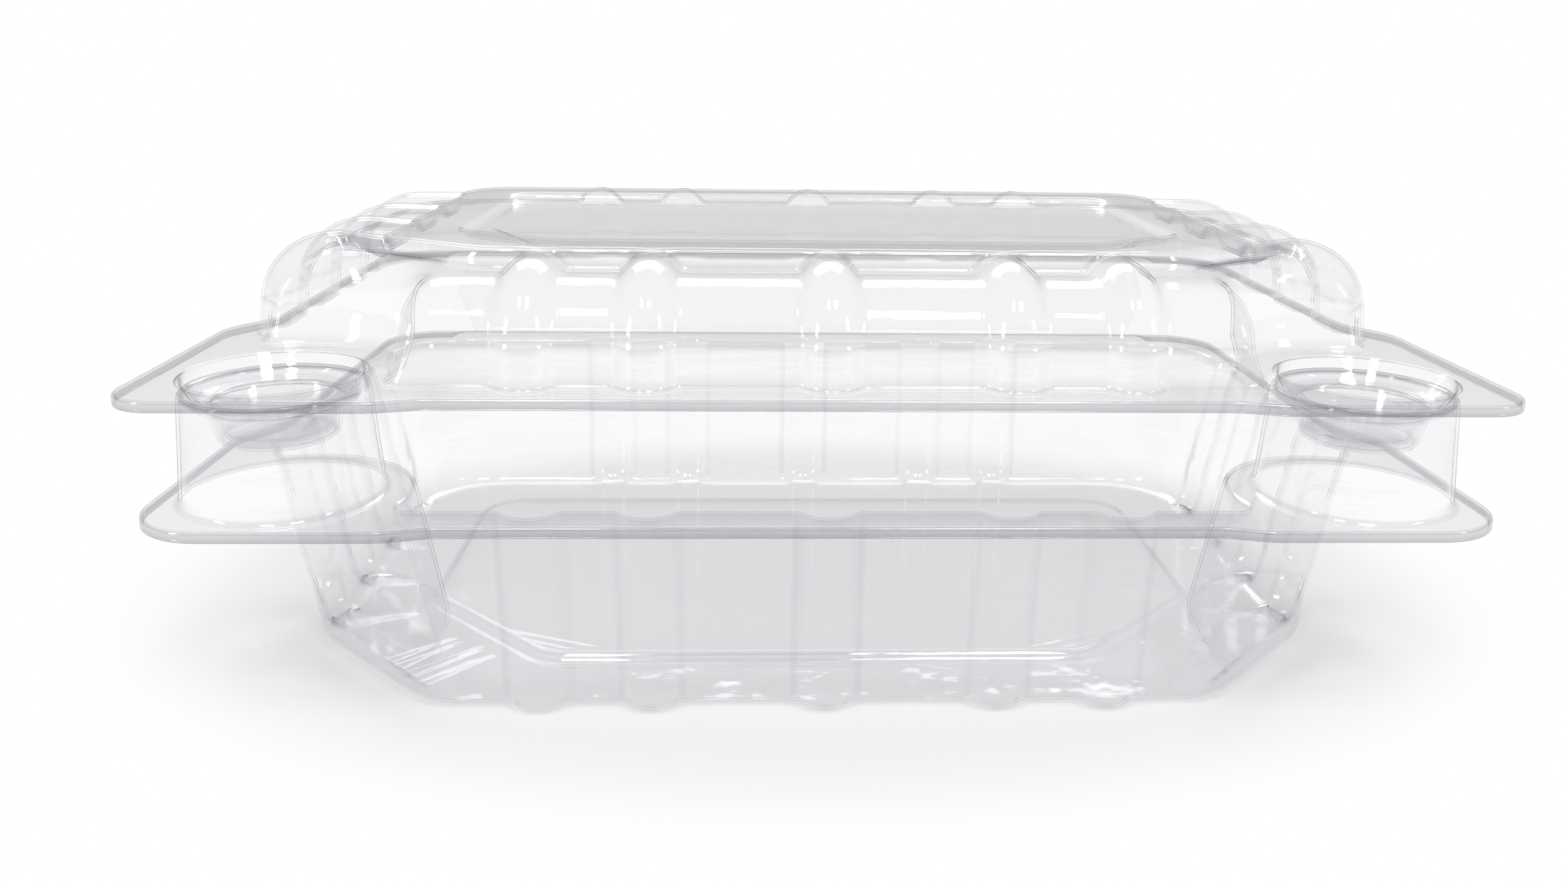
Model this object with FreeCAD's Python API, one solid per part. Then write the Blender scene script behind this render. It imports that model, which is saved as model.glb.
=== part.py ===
import FreeCAD, Part
import math
import os

# A clear clamshell pack, formed from one thin sheet: a ribbed tray, a ribbed lid, and the
# hinge strip between them. Millimetres. X runs along the long side, +Y points to the hinge
# at the back, Z points up, and the origin is under the middle of the whole closed pack.

# The sheet, and the clearances between its parts
film = 0.4
crease_gap = 0.3
fit_gap = 0.3

# The two flanges
flange_width = 185.0
flange_front = 59.0
ear_length = 42.0
ear_step = 5.0
ear_run = 8.0
ear_front_length = 34.0
front_recess = 1.6
front_run = 6.0
ear_radius = 7.0
bend_radius = 8.0
back_radius = 10.0
lip_drop = 1.5

# The tray
tray_depth = 31.0
mouth_half_x = 83.5
mouth_half_y = 51.0
floor_half_x = 78.0
floor_half_y = 48.5
corner_chamfer = 21.0
floor_chamfer = 28.0
back_corner = 14.0
floor_bevel = 1.6
pad_margin = 13.0
pad_rise = 1.2
pad_radius = 8.0
pad_chamfer = 22.0

# The lid
flange_gap = 17.0
band_height = 6.0
band_proud = 0.25
lid_rise = 13.4
lid_lean = 1.6
shoulder_radius = 8.5
rim_half_x = 65.0
rim_front = 35.0
rim_back = 39.0
rim_rise = 2.8
rim_chamfer_x = 25.0
rim_chamfer_y = 14.0
rim_corner = 7.0
rim_edge = 0.9
panel_margin = 9.0
panel_drop = 1.4
panel_lean = 0.8

# Ribs, pressed outwards in both walls
rib_radius = 4.45
rib_proud = 2.6
long_rib_places = (-40.8, -24.8, 0.0, 24.8, 40.8)
short_rib_places = (-19.0, -2.5, 14.0, 30.5)
rib_foot_gap = 0.25

# Corner posts on the tray, and the buttons of the lid that press into them
button_x = 75.5
button_y = -43.5
post_foot_radius = 13.5
post_top_radius = 12.9
dish_radius = 14.4
dish_seat_radius = 10.6
dish_drop = 3.2
plug_radius = 8.3
plug_tip_radius = 7.2
plug_drop = 8.2

# The hollow front corners that make room for the posts
notch_foot_radius = 24.0
notch_mouth_radius = 17.0
notch_ledge = 3.0
lid_notch_radius = 16.6
lid_notch_top_radius = 18.6

# The hinge strip
hinge_half_width = 74.0
hinge_end_cut = 3.0

# Levels and axes that follow from the sizes above
tray_top = tray_depth
lid_under = tray_top + flange_gap
lid_top_of_flange = lid_under + film
ledge_level = lid_under + lid_rise
rim_level = ledge_level + rim_rise
flange_half = flange_width / 2
hinge_y = flange_front - film / 2
flange_back = hinge_y - crease_gap
tray_crease_z = tray_top - film / 2
lid_crease_z = lid_under + film / 2
rib_sink = rib_radius - rib_proud

UP = FreeCAD.Vector(0, 0, 1)


def point(x, y, z=0.0):
    return FreeCAD.Vector(x, y, z)


def rounded_path(corners, closed=True):
    """A wire through corners (point, radius), with a tangent arc at each corner of a radius."""
    count = len(corners)
    edges = []
    starts = []
    ends = []
    arcs = []
    for i, (here, radius) in enumerate(corners):
        inner = closed or 0 < i < count - 1
        if radius <= 0 or not inner:
            starts.append(here)
            ends.append(here)
            arcs.append(None)
            continue
        back = corners[i - 1][0] - here
        ahead = corners[(i + 1) % count][0] - here
        back.normalize()
        ahead.normalize()
        half_angle = back.getAngle(ahead) / 2
        reach = radius / math.tan(half_angle)
        first = here + back * reach
        last = here + ahead * reach
        middle = back + ahead
        middle.normalize()
        centre = here + middle * (radius / math.sin(half_angle))
        starts.append(first)
        ends.append(last)
        arcs.append(centre - middle * radius)
    for i in range(count):
        if arcs[i] is not None:
            edges.append(Part.Arc(starts[i], arcs[i], ends[i]).toShape())
        if i + 1 < count or closed:
            following = starts[(i + 1) % count]
            if (following - ends[i]).Length > 1e-6:
                edges.append(Part.makeLine(ends[i], following))
    return Part.Wire(edges)


def mirrored(right_side):
    """Corners (x, y, radius) of a right-hand half, from front to back, made into a whole."""
    left_side = [(-x, y, radius) for x, y, radius in reversed(right_side)]
    return right_side + left_side


def outline(corners, z):
    return rounded_path([(point(x, y, z), radius) for x, y, radius in corners])


def plate(corners, z, thickness):
    return Part.Face(outline(corners, z)).extrude(UP * thickness)


def flange_corners(inset=0.0):
    """Outline of a flange: two ears in front, a recessed front edge, narrower sides."""
    side = flange_half - ear_step
    ear_end = ear_length - flange_front
    return mirrored([
        (flange_half - ear_front_length - front_run, -flange_front + front_recess + inset, bend_radius),
        (flange_half - ear_front_length, -flange_front + inset, bend_radius),
        (flange_half - inset, -flange_front + inset, ear_radius - inset),
        (flange_half - inset, ear_end, bend_radius),
        (side - inset, ear_end + ear_run, bend_radius),
        (side - inset, flange_back - inset, back_radius - inset),
    ])


def flange(z):
    """A flat flange whose edge is turned down, except along the hinge."""
    top = plate(flange_corners(), z, film)
    lip = plate(flange_corners(), z - lip_drop, lip_drop)
    lip = lip.cut(plate(flange_corners(film), z - lip_drop - 1, lip_drop + 2))
    gap_width = 2 * (hinge_half_width + crease_gap)
    gap = Part.makeBox(gap_width, back_radius, lip_drop + 2)
    gap.translate(point(-gap_width / 2, flange_back - back_radius / 2, z - lip_drop - 1))
    return top.fuse(lip.cut(gap))


def walled_corners(half_x, half_y, chamfer, corner):
    return mirrored([
        (half_x - chamfer, -half_y, 0.0),
        (half_x, -half_y + chamfer, 0.0),
        (half_x, half_y, corner),
    ])


def loft(levels):
    """A solid through outlines given as (corners, z), with straight walls between them."""
    wires = [outline(corners, z) for corners, z in levels]
    return Part.makeLoft(wires, True, True)


def at_button(shape, side):
    """A shape made about the Z axis, moved to the left or right button."""
    moved = shape.copy()
    moved.translate(point(side * button_x, button_y))
    return moved


def both_buttons(shape):
    return [at_button(shape, -1), at_button(shape, 1)]


def turned(profile):
    """A solid turned about the Z axis from corners (radius, z, rounding)."""
    wire = rounded_path([(point(r, 0, z), rounding) for r, z, rounding in profile])
    return Part.Face(wire).revolve(point(0, 0), UP, 360)


def cone_between(low_radius, low_z, high_radius, high_z):
    cone = Part.makeCone(low_radius, high_radius, high_z - low_z)
    cone.translate(point(0, 0, low_z))
    return cone


def edges_at_level(shape, z):
    return [e for e in shape.Edges if all(abs(v.Z - z) < 1e-4 for v in e.Vertexes)]


def rib_sites():
    """Each rib's place along its wall and the wall's outward direction: (along, outward)."""
    sites = []
    for along in long_rib_places:
        sites.append((point(along, 0), point(0, -1)))
        sites.append((point(along, 0), point(0, 1)))
    for along in short_rib_places:
        sites.append((point(0, along), point(-1, 0)))
        sites.append((point(0, along), point(1, 0)))
    return sites


def bent_rod(start, corner, end, bend, radius):
    """A round rod from start to end that turns at the corner with the given bend radius."""
    first = (corner - start).normalize()
    second = (end - corner).normalize()
    turn = first.getAngle(second)
    reach = bend * math.tan(turn / 2)
    bend_start = corner - first * reach
    bend_end = corner + second * reach
    inward = (second - first * first.dot(second)).normalize()
    ring = Part.Face(Part.Wire(Part.makeCircle(radius, bend_start, first)))
    elbow = ring.revolve(bend_start + inward * bend, first.cross(second), math.degrees(turn))
    upright = Part.makeCylinder(radius, (bend_start - start).Length, start, first)
    level = Part.makeCylinder(radius, (end - bend_end).Length, bend_end, second)
    return upright.fuse([elbow, level])


# Tray

def tray_walls(inset):
    """The tray's form, without ribs: chamfered front corners, hollowed about the posts."""
    foot_x = floor_half_x - floor_bevel - inset
    foot_y = floor_half_y - floor_bevel - inset
    foot = walled_corners(foot_x, foot_y, floor_chamfer - floor_bevel, back_corner - floor_bevel)
    low = walled_corners(floor_half_x - inset, floor_half_y - inset, floor_chamfer, back_corner)
    high = walled_corners(mouth_half_x - inset, mouth_half_y - inset, corner_chamfer, back_corner)
    form = loft([(foot, inset), (low, floor_bevel + inset)])
    form = form.fuse(loft([(low, floor_bevel + inset), (high, tray_top)]))
    notch = cone_between(notch_foot_radius + inset, notch_ledge + inset, notch_mouth_radius + inset, tray_top)
    return form.cut(both_buttons(notch))


def tray_rib(along, outward, inset):
    """A flute down a tray wall that ends in a round foot just above the ground."""
    across_x = abs(outward.x) > 0.5
    foot_half = floor_half_x if across_x else floor_half_y
    mouth_half = mouth_half_x if across_x else mouth_half_y
    lean = (mouth_half - foot_half) / tray_depth
    foot_z = rib_radius + rib_foot_gap
    radius = rib_radius - inset
    top_z = tray_top + rib_radius
    foot = along + outward * (foot_half + lean * foot_z - rib_sink) + UP * foot_z
    head = along + outward * (foot_half + lean * top_z - rib_sink) + UP * top_z
    rod = Part.makeCylinder(radius, (head - foot).Length, foot, head - foot)
    return rod.fuse(Part.makeSphere(radius, foot))


def floor_pad(grown):
    """The middle of the floor is pressed up a little, inside a flat border."""
    half_x = floor_half_x - pad_margin + grown
    half_y = floor_half_y - pad_margin + grown
    corners = mirrored([
        (half_x - pad_chamfer, -half_y, pad_radius),
        (half_x, -half_y + pad_chamfer, pad_radius),
        (half_x, half_y, pad_radius),
    ])
    return plate(corners, 0, pad_rise + grown)


def tray_form(inset):
    ribs = [tray_rib(along, outward, inset) for along, outward in rib_sites()]
    form = tray_walls(inset).fuse(ribs)
    half = flange_width
    keep = Part.makeBox(2 * half, 2 * half, tray_top, point(-half, -half, 0))
    return form.common(keep).cut(floor_pad(inset))


def post_profile():
    """The outside of a post: a leaning wall, a funnel on top and a blind socket in it."""
    slope = dish_drop / (dish_radius - dish_seat_radius)
    rim_z = lid_under - slope * (dish_radius - post_top_radius) - fit_gap
    seat_z = lid_under - dish_drop - fit_gap
    socket_radius = plug_radius + fit_gap
    socket_tip = plug_tip_radius + fit_gap
    socket_z = lid_under - plug_drop - fit_gap
    return rim_z, seat_z, socket_radius, socket_tip, socket_z


def post(inset):
    """A post about the Z axis, as a solid, drawn in by the sheet for its inside."""
    rim_z, seat_z, socket_radius, socket_tip, socket_z = post_profile()
    return turned([
        (0.0, tray_top - film - (inset > 0), 0),
        (post_foot_radius - inset, tray_top - film - (inset > 0), 0),
        (post_top_radius - inset, rim_z - inset, 0),
        (dish_seat_radius, seat_z - inset, 0),
        (socket_radius + inset, seat_z - inset, 0),
        (socket_tip + inset, socket_z - inset, 0),
        (0.0, socket_z - inset, 0),
    ])


def make_tray():
    rim = flange(tray_top - film).fuse(both_buttons(post(0.0)))
    rim = rim.cut(both_buttons(post(film)))
    return rim.fuse(tray_form(0.0)).cut(tray_form(film))


# Lid

def lid_corner_tool(inset):
    """What is taken from a front corner of the lid: a leaning wall that flares at the top."""
    top_z = ledge_level - inset
    radius = shoulder_radius - inset
    flare_z = top_z - radius
    foot = point(lid_notch_radius + inset, 0, lid_under)
    bend = point(lid_notch_top_radius + inset, 0, flare_z)
    tip = point(lid_notch_top_radius + inset + radius, 0, top_z)
    arc_middle = point(
        bend.x + radius * (1 - math.cos(math.pi / 4)), 0, flare_z + radius * math.sin(math.pi / 4))
    axis_top = point(0, 0, top_z)
    axis_foot = point(0, 0, lid_under)
    edges = [
        Part.makeLine(axis_foot, foot),
        Part.makeLine(foot, bend),
        Part.Arc(bend, arc_middle, tip).toShape(),
        Part.makeLine(tip, axis_top),
        Part.makeLine(axis_top, axis_foot),
    ]
    return Part.Face(Part.Wire(edges)).revolve(point(0, 0), UP, 360)


def lid_walls(inset):
    """The lid's form, without ribs: leaning walls, a large round shoulder, and a proud band."""
    base_x = mouth_half_x - band_proud - inset
    base_y = mouth_half_y - band_proud - inset
    top_z = ledge_level - inset
    low = walled_corners(base_x, base_y, corner_chamfer, back_corner)
    high = walled_corners(base_x - lid_lean, base_y - lid_lean, corner_chamfer, back_corner)
    form = loft([(low, lid_under), (high, top_z)])
    form = form.makeFillet(shoulder_radius - inset, edges_at_level(form, top_z))
    lean = lid_lean * band_height / lid_rise
    foot = walled_corners(base_x + band_proud, base_y + band_proud, corner_chamfer, back_corner)
    head = walled_corners(
        base_x + band_proud - lean, base_y + band_proud - lean, corner_chamfer, back_corner)
    band = loft([(foot, lid_under), (head, lid_under + band_height - inset / 2)])
    return form.fuse(band).cut(both_buttons(lid_corner_tool(inset)))


def lid_rib(along, outward, inset):
    """A flute up a lid wall, over the shoulder and along the ledge to the rim."""
    across_x = abs(outward.x) > 0.5
    wall_half = mouth_half_x if across_x else mouth_half_y
    rim_half = rim_half_x if across_x else (rim_front if outward.y < 0 else rim_back)
    low_z = lid_under - rib_radius
    lean = lid_lean / lid_rise
    foot = along + outward * (wall_half - rib_sink + lean * rib_radius) + UP * low_z
    bend_z = ledge_level - rib_sink
    bend = along + outward * (wall_half - rib_sink - lid_lean) + UP * bend_z
    head = along + outward * (rim_half - rib_radius) + UP * bend_z
    return bent_rod(foot, bend, head, shoulder_radius - rib_sink, rib_radius - inset)


def rim_corners(inset):
    half_x = rim_half_x - inset
    front = rim_front - inset
    return mirrored([
        (half_x - rim_chamfer_x, -front, 0.0),
        (half_x, -front + rim_chamfer_y, 0.0),
        (half_x, rim_back - inset, rim_corner - inset / 2),
    ])


def rim_block(inset):
    return loft([
        (rim_corners(inset), ledge_level - shoulder_radius),
        (rim_corners(inset), rim_level - rim_edge - inset),
        (rim_corners(inset + rim_edge), rim_level - inset),
    ])


def panel(grown):
    """The sunk panel inside the rim."""
    low = rim_corners(panel_margin + panel_lean - grown)
    high = rim_corners(panel_margin - grown)
    return loft([(low, rim_level - panel_drop - grown), (high, rim_level)])


def lid_form(inset):
    ribs = [lid_rib(along, outward, inset) for along, outward in rib_sites()]
    form = lid_walls(inset).fuse(ribs).fuse(rim_block(inset))
    half = flange_width
    keep = Part.makeBox(2 * half, 2 * half, flange_width, point(-half, -half, lid_under))
    return form.common(keep).cut(panel(inset))


def button(inset):
    """A button about the Z axis: a shallow dish and a plug, closed below."""
    return turned([
        (0.0, lid_top_of_flange + inset, 0),
        (dish_radius - inset, lid_top_of_flange + inset, 0),
        (dish_radius - inset, lid_under + inset, 0),
        (dish_seat_radius - inset, lid_under - dish_drop + inset, 0),
        (plug_radius - inset, lid_under - dish_drop + inset, 0),
        (plug_tip_radius - inset, lid_under - plug_drop + inset, 0),
        (0.0, lid_under - plug_drop + inset, 0),
    ])


def make_lid():
    rim = flange(lid_under).fuse(both_buttons(button(0.0)))
    rim = rim.cut(both_buttons(button(film)))
    return rim.fuse(lid_form(0.0)).cut(lid_form(film))


# Hinge strip

def make_hinge():
    """An upright strip between the back edges of the two flanges, creased to each."""
    low = tray_crease_z + crease_gap
    high = lid_crease_z - crease_gap
    corners = [
        (point(-hinge_half_width + hinge_end_cut, hinge_y - film / 2, low), 0),
        (point(-hinge_half_width, hinge_y - film / 2, (low + high) / 2), hinge_end_cut),
        (point(-hinge_half_width + hinge_end_cut, hinge_y - film / 2, high), 0),
        (point(hinge_half_width - hinge_end_cut, hinge_y - film / 2, high), 0),
        (point(hinge_half_width, hinge_y - film / 2, (low + high) / 2), hinge_end_cut),
        (point(hinge_half_width - hinge_end_cut, hinge_y - film / 2, low), 0),
    ]
    return Part.Face(rounded_path(corners)).extrude(point(0, film, 0))


os.makedirs("parts", exist_ok=True)
makers = {"tray": make_tray, "lid": make_lid, "hinge_strip": make_hinge}
for name, make in makers.items():
    shape = make()
    print(name, "solids", len(shape.Solids), "valid", shape.isValid(), "volume", round(shape.Volume, 1))
    shape.exportStep("parts/" + name + ".step")
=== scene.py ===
import bmesh
import bpy
import math
import numpy as np
from mathutils import Matrix, Vector
from mathutils.geometry import delaunay_2d_cdt


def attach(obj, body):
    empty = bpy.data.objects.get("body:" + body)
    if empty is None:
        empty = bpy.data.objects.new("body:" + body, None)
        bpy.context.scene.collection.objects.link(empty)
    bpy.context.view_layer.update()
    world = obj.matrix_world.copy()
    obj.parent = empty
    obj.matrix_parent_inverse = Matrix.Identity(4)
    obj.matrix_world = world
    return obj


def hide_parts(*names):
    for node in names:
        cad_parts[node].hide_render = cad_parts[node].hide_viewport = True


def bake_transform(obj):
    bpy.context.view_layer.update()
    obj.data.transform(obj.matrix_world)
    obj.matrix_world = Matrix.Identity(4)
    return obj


# A clear clamshell pack: the tray, the lid and the hinge strip as one fine formed film.
# Sizes are in millimetres here and become metres when a mesh is made.

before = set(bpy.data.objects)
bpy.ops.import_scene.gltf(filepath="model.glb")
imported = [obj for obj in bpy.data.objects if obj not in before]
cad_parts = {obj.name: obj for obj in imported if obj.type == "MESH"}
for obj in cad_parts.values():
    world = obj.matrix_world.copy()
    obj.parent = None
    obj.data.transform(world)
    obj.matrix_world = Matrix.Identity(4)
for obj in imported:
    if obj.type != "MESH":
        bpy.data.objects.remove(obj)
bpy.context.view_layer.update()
MM = 0.001

# The sheet and its flanges
FILM = 0.4
TRAY_TOP = 31.0
LID_UNDER = 48.0
FLANGE_HALF = 92.5
FLANGE_FRONT = 59.0
FLANGE_BACK = 58.5
# The ears at the front corners: their length along the side and along the front, and the steps
# by which the side and the front edge stand back from them
EAR_LENGTH = 42.0
EAR_FRONT = 34.0
EAR_STEP = 5.0
EAR_RUN = 8.0
FRONT_RECESS = 1.6
FRONT_RUN = 6.0
TRAY_EAR_CORNER = 11.0
LID_EAR_CORNER = 7.0
FLANGE_BEND = 8.0
FLANGE_BACK_CORNER = 10.0
LIP_DROP = 1.5
LIP_ROUND = 0.5
# The lip's section as (inset from the flange's edge, drop below its top)
LIP_SECTION = ((0.55 * LIP_ROUND, 0.12 * LIP_ROUND), (0.16 * LIP_ROUND, 0.42 * LIP_ROUND),
               (0.0, LIP_ROUND), (0.0, 0.6 * LIP_DROP + 0.3), (0.0, LIP_DROP))
# The share of its drop that the lip keeps at the hinge, and where it fades to that
LIP_AT_HINGE = 0.15
LIP_FADE_MARGIN_X = 1.5
LIP_FADE_X = 2.0
LIP_FADE_MARGIN_Y = 1.2
LIP_FADE_Y = 0.6
# The width of the narrow flat band that ends each rounded bend
SUPPORT = 0.12

# Tray: its outer half sizes at the flange and at the floor, its corners and its bends
MOUTH_X = 83.5
MOUTH_Y = 51.0
FLOOR_X = 78.0
FLOOR_Y = 48.5
FLOOR_CHAMFER = 21.0
FLOOR_CORNER = 4.0
FLOOR_ROUND = 1.8
BACK_CORNER = 14.0
CHAMFER_GROWTH = 0.4
CORNER_SHRINK = 0.6
TRAY_BEND = 0.6
TRAY_BEND_ANGLE = math.radians(80.0)
TRAY_ARRIS = 2.2
# How many rings each stretch of its wall has, and how far they keep from the corner ledge's ends
WALL_LEVELS = 11
LEDGE_LEVELS = 11
FOOT_LEVELS = 5
FLOOR_LEVELS = 8
LEDGE_MARGIN = 0.8
FOOT_MARGIN = 0.6
# The raised middle of the floor
PAD_MARGIN = 13.0
PAD_RISE = 1.2
PAD_CHAMFER = 22.0
PAD_CORNER = 8.0
# The pad's edge as (inset, share of its rise)
PAD_SECTION = ((-0.3, 0.0), (0.0, 0.0), (0.35, 0.125), (0.7, 0.5), (1.05, 0.875), (1.4, 1.0), (1.7, 1.0))
# The hollow front corners: their radius about the button at the flange and at the ledge, the
# ledge's height, and how far it falls before the corners are straight
NOTCH_MOUTH = 17.0
NOTCH_FOOT = 20.5
NOTCH_LEDGE = 10.5
LEDGE_FALL = 6.0

# Lid: the heights of its ledge and rim, its foot band, its shoulder and its hollow front corners
LEDGE = 61.4
RIM = 64.2
LID_LEAN = 1.6
BAND_PROUD = 0.15
BAND_HEIGHT = 6.0
SHOULDER = 8.5
LID_NOTCH = 16.6
LID_NOTCH_TOP = 18.2
LID_NOTCH_FLARE = 4.6
FLARE_POWER = 1.6
LID_ARRIS = 3.0
LID_BEND = 0.5
LID_BEND_ANGLE = math.radians(82.0)
LID_CORNER_SHRINK = 0.5
LID_CORNER_LEAST = 6.0
# The foot band's levels, and its upper edge as (height past it, share of its step)
BAND_LEVELS = 5
BAND_START = 1.6
BAND_MARGIN = 0.4
BAND_EDGE = ((-0.1, 0.0), (0.05, 1.0))
SHOULDER_START = 0.35
SHOULDER_LEVELS = 13
SHOULDER_IN = LID_LEAN + BAND_PROUD + SHOULDER
# How far the rings between the shoulder and the rim have come towards the rim
LEDGE_SHARES = (0.2, 0.45, 0.7, 0.88, 1.0)
RIM_X = 65.0
RIM_FRONT = 35.0
RIM_BACK = 39.0
RIM_CHAMFER_X = 16.0
RIM_CHAMFER_Y = 9.5
RIM_SOFT = 3.0
RIM_CORNER = 7.0
RIM_CORNER_SHRINK = 0.3
RIM_FOOT = -0.5
# The rim's outer bend as (inset, share of its rise above the ledge)
RIM_SECTION = ((-0.3, 0.12), (-0.1, 0.45), (0.05, 0.75), (0.35, 0.93), (0.8, 1.0), (1.2, 1.0))
PANEL_MARGIN = 9.0
PANEL_DROP = 1.4
# The sunk panel's edge as (inset past its margin, share of its drop)
PANEL_SECTION = ((-0.9, 0.0), (-0.5, 0.0), (0.0, 0.0857), (0.4, 0.4286), (0.8, 0.8571), (1.3, 1.0),
                 (1.8, 1.0))

# Ribs: rounds of one radius that stand a little out of the wall, with round feet on the tray
RIB_RADIUS = 4.45
RIB_PROUD = 2.6
RIB_SOFT = 5.0
LONG_RIBS = (-40.8, -24.8, 0.0, 24.8, 40.8)
SHORT_RIBS = (-19.0, -2.5, 14.0, 30.5)
RIB_FOOT = 2.8
RIB_FOOT_DROP = 3.7
# A point within this of a wall's straight stretch lies on it and can carry a rib
WALL_REACH = 1.5

# Corner posts and buttons: radii about the button's axis, and depths below the lid's flange
BUTTON = (75.5, -43.5)
POST_FOOT = 13.5
POST_FLARE = 1.0
POST_TOP = 12.3
DISH = 12.6
DISH_SEAT = 10.2
DISH_DROP = 3.2
PLUG = 8.3
PLUG_TIP = 7.2
PLUG_DROP = 8.2
FIT_GAP = 0.3
TIP_RING = 2.0
DISH_EDGE = 0.15
LUGS = 12
LUG_PROUD = 0.75
# The lobes stand out most at this share of a socket's depth and end this far from it
LUG_MIDDLE = 0.45
LUG_REACH = 0.4
# Only the rings of the button that are smaller than its seat by this have lobes
LOBE_MARGIN = 1.0

# Hinge strip
HINGE_HALF = 74.0
HINGE_END = 3.0
HINGE_Y = 58.8
CREASE_GAP = 0.3
CREASE_LAP = 0.05
STRIP_LEVELS = 15
CREASE_LEVELS = 6
STRIP_FILM = 0.98 * FILM
CREASE_FILM = 0.5 * FILM

# Bends that show as grey lines of painted shade, as one over their radius in millimetres
BEND_LEAST = 0.6
BEND_MOST = 2.6
# An edge shorter than this counts as this long
SHORTEST_EDGE = 0.25
# A point on an edge longer than this lies in a flat fill and counts as unbent
FLAT_EDGE = 2.6

# Tolerances: places in a fill in millimetres, and points that become one in metres
FILL_CLOSE = 1e-5
MERGE_METRES = 1e-6

# Points along a ring: evenly spaced where the ribs are, and a fixed number on each other stretch
RIB_ZONE_X = 46.0
SIDE_ZONE = (-24.0, 36.0)
ZONE_GAP = 0.5
STEP = 0.6
FRONT_STEPS = round(RIB_ZONE_X / STEP)
SIDE_STEPS = round((SIDE_ZONE[1] - SIDE_ZONE[0]) / STEP)
FRONT_RUN_STEPS = 7
ARRIS_STEPS = 7
NOTCH_STEPS = 26
SOFT_STEPS = 12
CHAMFER_STEPS = 2 * ARRIS_STEPS + NOTCH_STEPS - 2 * SOFT_STEPS
SIDE_RUN_STEPS = 4
SIDE_END_STEPS = 2
CORNER_STEPS = 16
BACK_RUN_STEPS = 10
FLANGE_STEPS = (28, 4, 15, 14, 4, 40, 44)
FLANGE_TURNS = (5, 5, 16, 5, 5, 14)
PAD_STEPS = (20, 16, 24, 40)
PAD_TURNS = (8, 8, 12)
ROUND_STEPS = 96
BEND_STEPS = 5
STRIP_STEPS = 60

# Looks of the film
WHITE = (1.0, 1.0, 1.0, 1.0)
FILM_TINT = (0.984, 0.985, 0.987, 1.0)
# The grey at the film's outlines and bends is painted shade, standing in for the dark refraction and
# reflection there
PAINTED_EDGE_SHADE = (0.26, 0.27, 0.31, 1.0)
OUTLINE_SHADE_FROM = 0.87
BEND_SHADE_SHARE = 0.32
WAVE_SCALE = 90.0
WAVE_DETAIL = 3.0
CRINKLE_SCALE = 160.0
CRINKLE_DETAIL = 4.0
CRINKLE_STRETCH = (0.25, 0.25, 1.6)
BUMP_STRENGTH = 0.3
BUMP_METRES = 0.0006
GLOSS_ROUGHNESS = 0.035
GLOSS_POWER = 5.0
GLOSS_AT_EDGE = 0.6
GLOSS_LEAST = 0.035
GLOSS_AT_BENDS = 0.06

# The studio, in metres: the shadow fades out between two sizes of an oval about the pack
PAPER = (0.93, 0.93, 0.935, 1.0)
SHADOW_OVAL = (0.66, 1.0, 1.0)
SHADOW_INNER = 0.06
SHADOW_OUTER = 0.084
FLOOR_SIZE = 8.0
FLOOR_Z = -0.00005
AMBIENT = 0.46
LIGHTS_AIM_Z = 0.05


# Curves

def line_points(start, end, count):
    """Points from start towards end, without the end itself."""
    t = np.arange(count)[:, None] / count
    return np.asarray(start)[None, :] * (1 - t) + np.asarray(end)[None, :] * t


def arc_points(centre, radius, start, end, count):
    """Points on an arc from one angle towards another, without the last."""
    a = start + (end - start) * np.arange(count) / count
    return np.stack([centre[0] + radius * np.cos(a), centre[1] + radius * np.sin(a)], axis=1)


def mirror_ring(right):
    """A closed ring from its right-hand half, front centre to back centre, both included."""
    left = right[1:-1][::-1] * np.array([-1.0, 1.0])
    return np.concatenate([right, left])


def rounded_ring(corners, steps, turns):
    """A closed ring from right-hand corners (x, y, radius), from the front to the back.

    steps holds the number of points on each straight and turns on each corner."""
    path = [np.array([0.0, corners[0][1]])]
    path += [np.array(c[:2]) for c in corners]
    path += [np.array([0.0, corners[-1][1]])]
    parts = []
    start = path[0]
    for i, corner in enumerate(corners):
        here = path[i + 1]
        back = path[i] - here
        ahead = path[i + 2] - here
        back /= np.linalg.norm(back)
        ahead /= np.linalg.norm(ahead)
        half = math.acos(max(-1.0, min(1.0, float(back @ ahead)))) / 2
        radius = corner[2]
        reach = radius / math.tan(half)
        first = here + back * reach
        last = here + ahead * reach
        middle = back + ahead
        centre = here + middle / np.linalg.norm(middle) * radius / math.sin(half)
        a0 = math.atan2(*(first - centre)[::-1])
        a1 = math.atan2(*(last - centre)[::-1])
        if a1 - a0 > math.pi:
            a1 -= 2 * math.pi
        if a0 - a1 > math.pi:
            a1 += 2 * math.pi
        parts.append(line_points(start, first, steps[i]))
        parts.append(arc_points(centre, radius, a0, a1, turns[i]))
        start = last
    parts.append(line_points(start, path[-1], steps[-1]))
    parts.append(path[-1][None, :])
    return mirror_ring(np.concatenate(parts))


def flange_ring(inset, corner):
    """The outline of a flange: two ears in front, a recessed front edge, narrower sides."""
    side = FLANGE_HALF - EAR_STEP - inset
    ear_end = EAR_LENGTH - FLANGE_FRONT
    front = -FLANGE_FRONT + inset
    return rounded_ring([
        (FLANGE_HALF - EAR_FRONT - FRONT_RUN, front + FRONT_RECESS, FLANGE_BEND),
        (FLANGE_HALF - EAR_FRONT, front, FLANGE_BEND),
        (FLANGE_HALF - inset, front, corner - inset),
        (FLANGE_HALF - inset, ear_end, FLANGE_BEND),
        (side, ear_end + EAR_RUN, FLANGE_BEND),
        (side, FLANGE_BACK - inset, FLANGE_BACK_CORNER - inset),
    ], FLANGE_STEPS, FLANGE_TURNS)


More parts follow.
